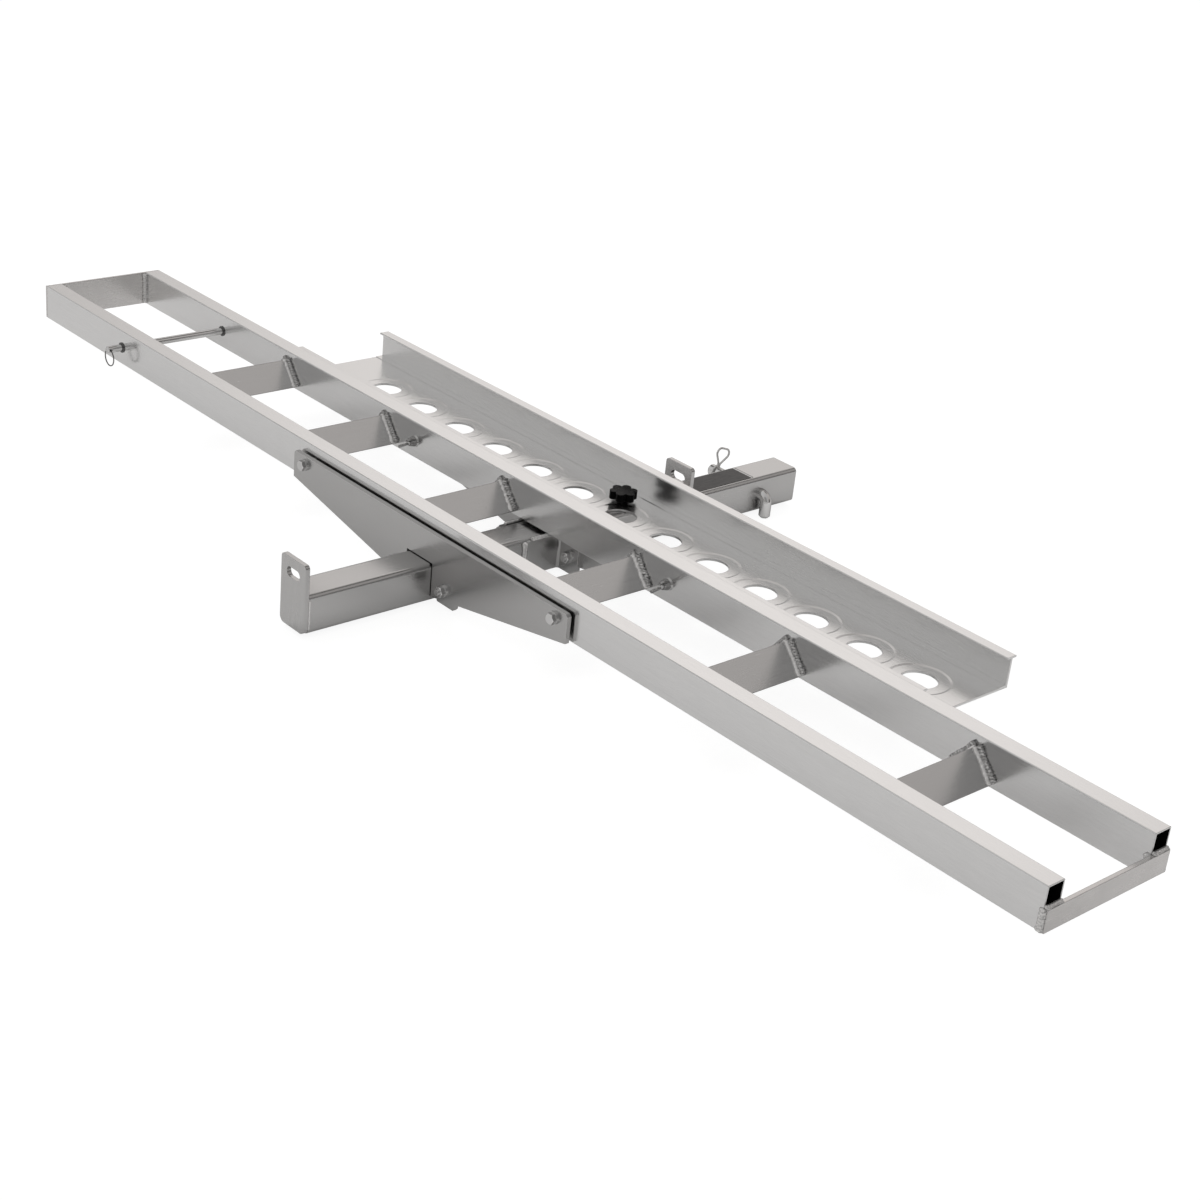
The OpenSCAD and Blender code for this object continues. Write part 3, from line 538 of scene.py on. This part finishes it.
# Height of a bead at a share t across it, and its tone: painted shade in the ripples' valleys, lighter on
# their crests, and random flecks
def beadSkin(look, form, travel, t, seed):
    arch = math.sin(math.pi * t)
    rims = sum(high * math.exp(-((t - place) / wide) ** 2) for place, wide, high in form["rims"])
    phase = travel / look["pitch"] + form["rippleBend"] * arch
    wave = abs(math.sin(math.pi * phase)) ** form["ripplePower"]
    ripple = look["ripple"] * arch * look["ripplesFrom"](t) * wave
    fine, across, offset = form["roughness"]
    rough = look["rough"] * noise.noise(Vector((travel * fine, t * across, seed + offset)))
    lift = arch ** form["archPower"] * look["height"] + rims * look["rims"] + ripple + rough * arch
    crest = 1.0 - form["crestLight"] * ripple / look["ripple"]
    dark = look["dark"] * look["ripplesFrom"](t + form["darkAhead"]) * crest
    fine, across, offset = form["flecks"]
    fleck = look["flecks"] * noise.noise(Vector((travel * fine, t * across, seed + offset)))
    tone = form["toneTop"] - dark + fleck * look["ripplesFrom"](t + form["fleckAhead"])
    return lift, min(form["toneLimits"][1], max(form["toneLimits"][0], tone))


# sideA and sideB run along the two joined faces, away from the corner between them
def bead(name, start, end, sideA, sideB, look, finish):
    form = beadForm
    start = Vector(start)
    run = Vector(end) - start
    along = run.normalized()
    legA = Vector(sideA).normalized() * look["legs"][0]
    legB = Vector(sideB).normalized() * look["legs"][1]
    outward = look.get("outward")
    outward = Vector(outward) if outward else (legA.normalized() + legB.normalized()).normalized()
    rings = max(4, round(run.length / look["step"]))
    across = look["across"]
    seed = noise.noise(start * form["seed"][0]) * form["seed"][1]
    points = []
    tones = []
    faces = []
    for i in range(rings + 1):
        travel = run.length * i / rings
        size = beadSize(look, form, travel, run.length, run.length / rings, min(i, rings - i), seed)
        centre = start + along * travel
        for j in range(across + 1):
            t = j / across
            lift, tone = beadSkin(look, form, travel, t, seed)
            points.append(centre + (legA * (1 - t) + legB * t) * size + outward * (lift * size))
            tones.append(tone)
        # the root point takes painted shade
        points.append(centre - outward * look["height"] * form["rootDepth"])
        tones.append(form["paintedRootShade"])
    ring = across + 2
    for i in range(rings):
        for j in range(ring):
            here = i * ring + j
            beside = i * ring + (j + 1) % ring
            faces.append((here, beside, beside + ring, here + ring))
    faces.append(tuple(reversed(range(ring))))
    faces.append(tuple(range(rings * ring, rings * ring + ring)))
    mesh = bpy.data.meshes.new(name)
    mesh.from_pydata(points, [], faces)
    mesh.polygons.foreach_set("use_smooth", [True] * len(mesh.polygons))
    # a layer of painted light and shade on the ripples, with random flecks
    layer = mesh.color_attributes.new(look["paintedLightShadeAndFleckLayer"], "FLOAT_COLOR", "POINT")
    layer.data.foreach_set("color", [value for tone in tones for value in (tone, tone, tone, 1.0)])
    mesh.materials.append(finish["material"])
    made = addObject(name, mesh)
    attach(made, "carrier")


halfSteepness = 18.0


# Where across a bead its ripples are
def allOver(t):
    return 1.0


def farHalf(t):
    return 1.0 / (1.0 + math.exp(-(t - 0.5) * halfSteepness))


weldLook = {
    "paintedLightShadeAndFleckLayer": "tone",
    "legs": (7.8 * mm, 6.8 * mm),
    "height": -0.2 * mm,
    "rims": 0.9 * mm,
    "ripple": 0.9 * mm,
    "ripplesFrom": farHalf,
    "rough": 0.6 * mm,
    "pitch": 3.6 * mm,
    "step": 0.6 * mm,
    "across": 12,
    "startBlob": 0.05,
    "endBlob": 0.15,
    # depth of the painted shade in the ripples
    "dark": 0.9,
    "flecks": 0.6,
}
weldSkin = dict(zincLook, colour=colour(0.84, 0.83, 0.82), roughness=0.15, stretch=(420.0, 420.0, 420.0),
                contrast=0.4, bump=0.3, edge=0.3 * mm, paintedRimShadeDepth=0.25, paintedRimShadeFall=1.6, metallic=0.5,
                paintedLightShadeAndFleckLayer=weldLook["paintedLightShadeAndFleckLayer"])
weldAluminium = {"material": metalFinish("weld_aluminium", weldSkin), "slot": "rail_aluminium"}
weldSteel = {
    "material": metalFinish("weld_steel", dict(weldSkin, colour=colour(0.88, 0.87, 0.86))),
    "slot": "shank_steel",
}

frontLow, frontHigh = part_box("front_rail")
backLow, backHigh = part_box("back_rail")
plateLow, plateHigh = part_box("left_end_plate")
barLow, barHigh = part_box("right_end_bar")
innerFaces = (("back", backLow.y, -1), ("front", frontHigh.y, 1))    # of the rails, and the way off them


def weldRungs(look):
    for i in range(6):
        low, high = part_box("rung_%d" % (i + 1))
        ridge = (low.x + high.x) / 2
        slope = (high.z - low.z) / (high.x - ridge)
        for face, inward, railName in ((high.y, -1, "back"), (low.y, 1, "front")):
            for side, sideName in ((1, "right"), (-1, "left")):
                foot = high.x if side > 0 else low.x
                bead("weld_rung_%d_%s_%s" % (i + 1, railName, sideName),
                     (ridge, face, high.z), (foot, face, low.z), (0, inward, 0), (side * slope, 0, 1),
                     look, weldAluminium)


# The left end plate's corners, and the right end bar's corners, top and inner corners
roundLook = dict(weldLook, ripplesFrom=allOver, height=0.5 * mm, dark=0.5)
cornerLook = dict(roundLook, legs=(4.5 * mm, 4.5 * mm), endBlob=0.45, startBlob=0.0, ripple=0.5 * mm)
outerLook = dict(roundLook, legs=(4.6 * mm, 4.4 * mm), height=1.9 * mm, rims=0.3 * mm, startBlob=0.15,
                 endBlob=0.1)
barTopLook = dict(roundLook, legs=(4.4 * mm, 2.6 * mm), ripple=0.6 * mm, startBlob=0.35, endBlob=0.25)
innerLook = dict(cornerLook, legs=(4.5 * mm, 6.0 * mm), endBlob=0.3)
innerRun = 12.0 * mm
cornerShort = 1.0 * mm    # how far a corner's bead stays below the plate's top


def weldEnds():
    top = plateHigh.z - cornerShort
    for name, face, inward in innerFaces:
        bead("weld_left_plate_" + name, (plateHigh.x, face, plateLow.z), (plateHigh.x, face, top),
             (0, inward, 0), (1, 0, 0), cornerLook, weldAluminium)
    for name, face, outward in (("front", barLow.y, -1), ("back", barHigh.y, 1)):
        bead("weld_bar_outer_" + name, (barLow.x, face, barLow.z), (barLow.x, face, barHigh.z),
             (-1, 0, 0), (1, 0, 0), dict(outerLook, outward=(0, outward, 0)), weldAluminium)
    for name, low, high in (("front", frontLow, frontHigh), ("back", backLow, backHigh)):
        bead("weld_bar_top_" + name, (barLow.x, low.y, barHigh.z), (barLow.x, high.y, barHigh.z),
             (1, 0, 0), (0, 0, 1), barTopLook, weldAluminium)
    for name, face, inward in innerFaces:
        bead("weld_bar_inner_" + name, (barLow.x, face, barHigh.z - innerRun), (barLow.x, face, barHigh.z),
             (0, inward, 0), (-1, 0, 0), innerLook, weldAluminium)


# The brackets' free ends and top edges, on the tube's sides
bracketLook = dict(weldLook, ripplesFrom=allOver, height=0.8 * mm, legs=(4.6 * mm, 4.6 * mm),
                   ripple=0.5 * mm, rough=0.7 * mm, endBlob=0.4, dark=0.3, flecks=0.4)
bracketTopLook = dict(bracketLook, legs=(5.5 * mm, 3.6 * mm))
bracketInsets = {"foot": 3.0 * mm, "top": 1.0 * mm, "along": 7.0 * mm}


def weldBrackets(inset):
    for place, away in (("front", 1), ("rear", -1)):
        for hand, side in (("left", -1), ("right", 1)):
            name = "bracket_%s_%s" % (place, hand)
            low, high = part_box(name)
            freeSide = high.y if away > 0 else low.y
            wall = tubeHigh.x * side
            bead("weld_%s_end" % name, (wall, freeSide, low.z + inset["foot"]),
                 (wall, freeSide, high.z - inset["top"]), (0, away, 0), (side, 0, 0), bracketLook, weldSteel)
            bead("weld_%s_top" % name, (wall, low.y + inset["along"], high.z),
                 (wall, high.y - inset["along"], high.z), (side, 0, 0), (0, 0, 1), bracketTopLook, weldSteel)


# The near lug's back on the tube's sides and top, and both sides of the far lug's foot
lugLooks = {
    "top": dict(weldLook, ripplesFrom=allOver, height=0.4 * mm, legs=(2.4 * mm, 2.4 * mm), ripple=0.25 * mm,
                rough=0.4 * mm, rims=0.2 * mm, startBlob=0.0, endBlob=0.0, dark=0.3, flecks=0.3),
}
lugLooks["side"] = dict(lugLooks["top"], legs=(2.4 * mm, 0.2 * mm))
lugLooks["foot"] = dict(lugLooks["top"], legs=(4.0 * mm, 4.0 * mm), ripple=0.6 * mm, rough=0.7 * mm)
lugInset = 6.0 * mm


def weldLugs(looks, inset):
    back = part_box("near_lug")[1].y
    for side in (-1, 1):
        wall = tubeHigh.x * side
        bead("weld_near_lug_side_%d" % (side + 1), (wall, back, -tubeHigh.z + inset),
             (wall, back, tubeHigh.z - inset), (0, 1, 0), (side, 0, 0), looks["side"], weldSteel)
    bead("weld_near_lug_top", (-tubeHigh.x + inset, back, tubeHigh.z), (tubeHigh.x - inset, back, tubeHigh.z),
         (0, 1, 0), (0, 0, 1), looks["top"], weldSteel)
    low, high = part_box("far_lug")
    for name, face, away in (("front", low.y, -1), ("back", high.y, 1)):
        bead("weld_far_lug_" + name, (low.x + inset, face, tubeHigh.z), (high.x - inset, face, tubeHigh.z),
             (0, away, 0), (0, 0, 1), looks["foot"], weldSteel)


weldRungs(dict(weldLook, openStart=True))
weldEnds()
weldBrackets(bracketInsets)
weldLugs(lugLooks, lugInset)
print("welds done")


# World, floor and lamps
studio = {
    "bright": (-0.60, 0.66, 0.45),    # the light is fullest from here, behind and above the object
    "brightValue": 0.95,
    "edges": (0.93, 0.998),          # how the full light fades, as a cosine
    "sideValue": 0.515,               # the rest of the room, lighter to the left
    "sideSlope": -0.11,
    "darkPatches": [                  # direction, cosines at its rim and in its middle, depth
        ((-0.72, 0.06, 0.69), (0.955, 0.985), 0.75),
        ((-0.02, 0.56, 0.83), (0.955, 0.99), 0.8),
        ((0.80, 0.56, 0.16), (0.95, 0.985), 0.8),
        ((0.65, -0.62, 0.43), (0.90, 0.97), 0.42),
    ],
    "frontColour": (1.0, 0.995, 0.99, 1.0),
    "backColour": (1.0, 0.962, 0.94, 1.0),
    "backFade": (-0.3, 0.4),         # from the front's colour to the back's, along y
    "floorDrop": 1.0 * mm,
    "floorSize": 40.0,
    "floorGrey": 0.8,
    "floorGreySeen": 0.22,            # to the camera the floor is mostly white by itself
    "floorGlow": 0.9,
    "floorGlowAround": 0.1,           # the same for what the metal mirrors
}


def makeWorld(look):
    world = bpy.data.worlds.new("studioWorld")
    bpy.context.scene.world = world
    world.use_nodes = True
    tree = world.node_tree
    tree.nodes.clear()
    out = addNode(tree, "ShaderNodeOutputWorld", 800, 0)
    given = addNode(tree, "ShaderNodeTexCoord", -1000, 0).outputs["Generated"]
    way = vectorNode(tree, "NORMALIZE", -800, 0, given).outputs[0]
    parts = addNode(tree, "ShaderNodeSeparateXYZ", -600, -200)
    feed(tree, parts.inputs[0], way)
    toward = vectorNode(tree, "DOT_PRODUCT", -600, 0, way,
                        tuple(Vector(look["bright"]).normalized())).outputs["Value"]
    fade = fadeNode(tree, -300, 0, toward, look["edges"])
    side = mathNode(tree, "ADD", -300, -200,
                    mathNode(tree, "MULTIPLY", -450, -200, parts.outputs[0], look["sideSlope"]),
                    look["sideValue"])
    strength = addNode(tree, "ShaderNodeMix", -100, 0, data_type="FLOAT")
    feed(tree, strength.inputs[0], fade)
    feed(tree, strength.inputs[2], side)
    feed(tree, strength.inputs[3], look["brightValue"])
    level = strength.outputs[0]
    for i, (middle, rims, depth) in enumerate(look["darkPatches"]):
        near = vectorNode(tree, "DOT_PRODUCT", -600, 300 + 200 * i, way,
                          tuple(Vector(middle).normalized())).outputs["Value"]
        patch = fadeNode(tree, -300, 300 + 200 * i, near, rims, (1.0, 1.0 - depth))
        level = mathNode(tree, "MULTIPLY", -100, 300 + 200 * i, level, patch)
    behind = fadeNode(tree, -300, -400, parts.outputs[1], look["backFade"])
    light = addNode(tree, "ShaderNodeBackground", 200, 100)
    feed(tree, light.inputs["Strength"], level)
    feed(tree, light.inputs["Color"],
         mixColour(tree, 0, -300, behind, look["frontColour"], look["backColour"]))
    white = addNode(tree, "ShaderNodeBackground", 200, -100)
    white.inputs["Color"].default_value = colour(1.0, 1.0, 1.0)
    ray = addNode(tree, "ShaderNodeLightPath", 200, 500)
    pick = addNode(tree, "ShaderNodeMixShader", 500, 0)
    feed(tree, pick.inputs[0], ray.outputs["Is Camera Ray"])
    feed(tree, pick.inputs[1], light.outputs[0])
    feed(tree, pick.inputs[2], white.outputs[0])
    feed(tree, out.inputs[0], pick.outputs[0])


def makeFloor(look):
    half = look["floorSize"] / 2
    drop = cadBox[0].z - look["floorDrop"]
    mesh = bpy.data.meshes.new("studioFloor")
    mesh.from_pydata([(-half, -half, drop), (half, -half, drop), (half, half, drop), (-half, half, drop)],
                     [], [(0, 1, 2, 3)])
    floor = addObject("studioFloor", mesh)
    material, tree, shader = newMaterial("studio_floor")
    ray = addNode(tree, "ShaderNodeLightPath", -600, 0)
    grey = look["floorGrey"]
    seen = look["floorGreySeen"]
    feed(tree, shader.inputs["Base Color"],
         mixColour(tree, -300, 100, ray.outputs["Is Camera Ray"],
                   colour(grey, grey, grey), colour(seen, seen, seen)))
    shader.inputs["Roughness"].default_value = 1.0
    shader.inputs["Specular IOR Level"].default_value = 0.0
    shader.inputs["Emission Color"].default_value = colour(1.0, 1.0, 1.0)
    feed(tree, shader.inputs["Emission Strength"],
         mathNode(tree, "MAXIMUM", -300, -200, look["floorGlowAround"],
                  mathNode(tree, "MULTIPLY", -450, -200, ray.outputs["Is Camera Ray"], look["floorGlow"])))
    mesh.materials.append(material)


# The lamps light the floor and the plastic; bare metal shows only the room
lampLook = {
    "key": {"location": (-1.6, 1.4, 2.8), "size": (2.4, 1.6), "power": 26.0},
    "fill": {"location": (1.6, -1.8, 2.8), "size": (2.6, 2.0), "power": 14.0},
}


def makeLamps(lamps):
    for name, lamp in lamps.items():
        data = bpy.data.lights.new(name + "Lamp", "AREA")
        data.shape = "RECTANGLE"
        data.size, data.size_y = lamp["size"]
        data.energy = lamp["power"]
        made = addObject(name + "Lamp", data)
        made.location = lamp["location"]
        made.rotation_mode = "QUATERNION"
        made.rotation_quaternion = (-Vector(lamp["location"])).to_track_quat("-Z", "Y")
        made.visible_glossy = False


makeWorld(studio)
makeFloor(studio)
makeLamps(lampLook)
print("studio done")
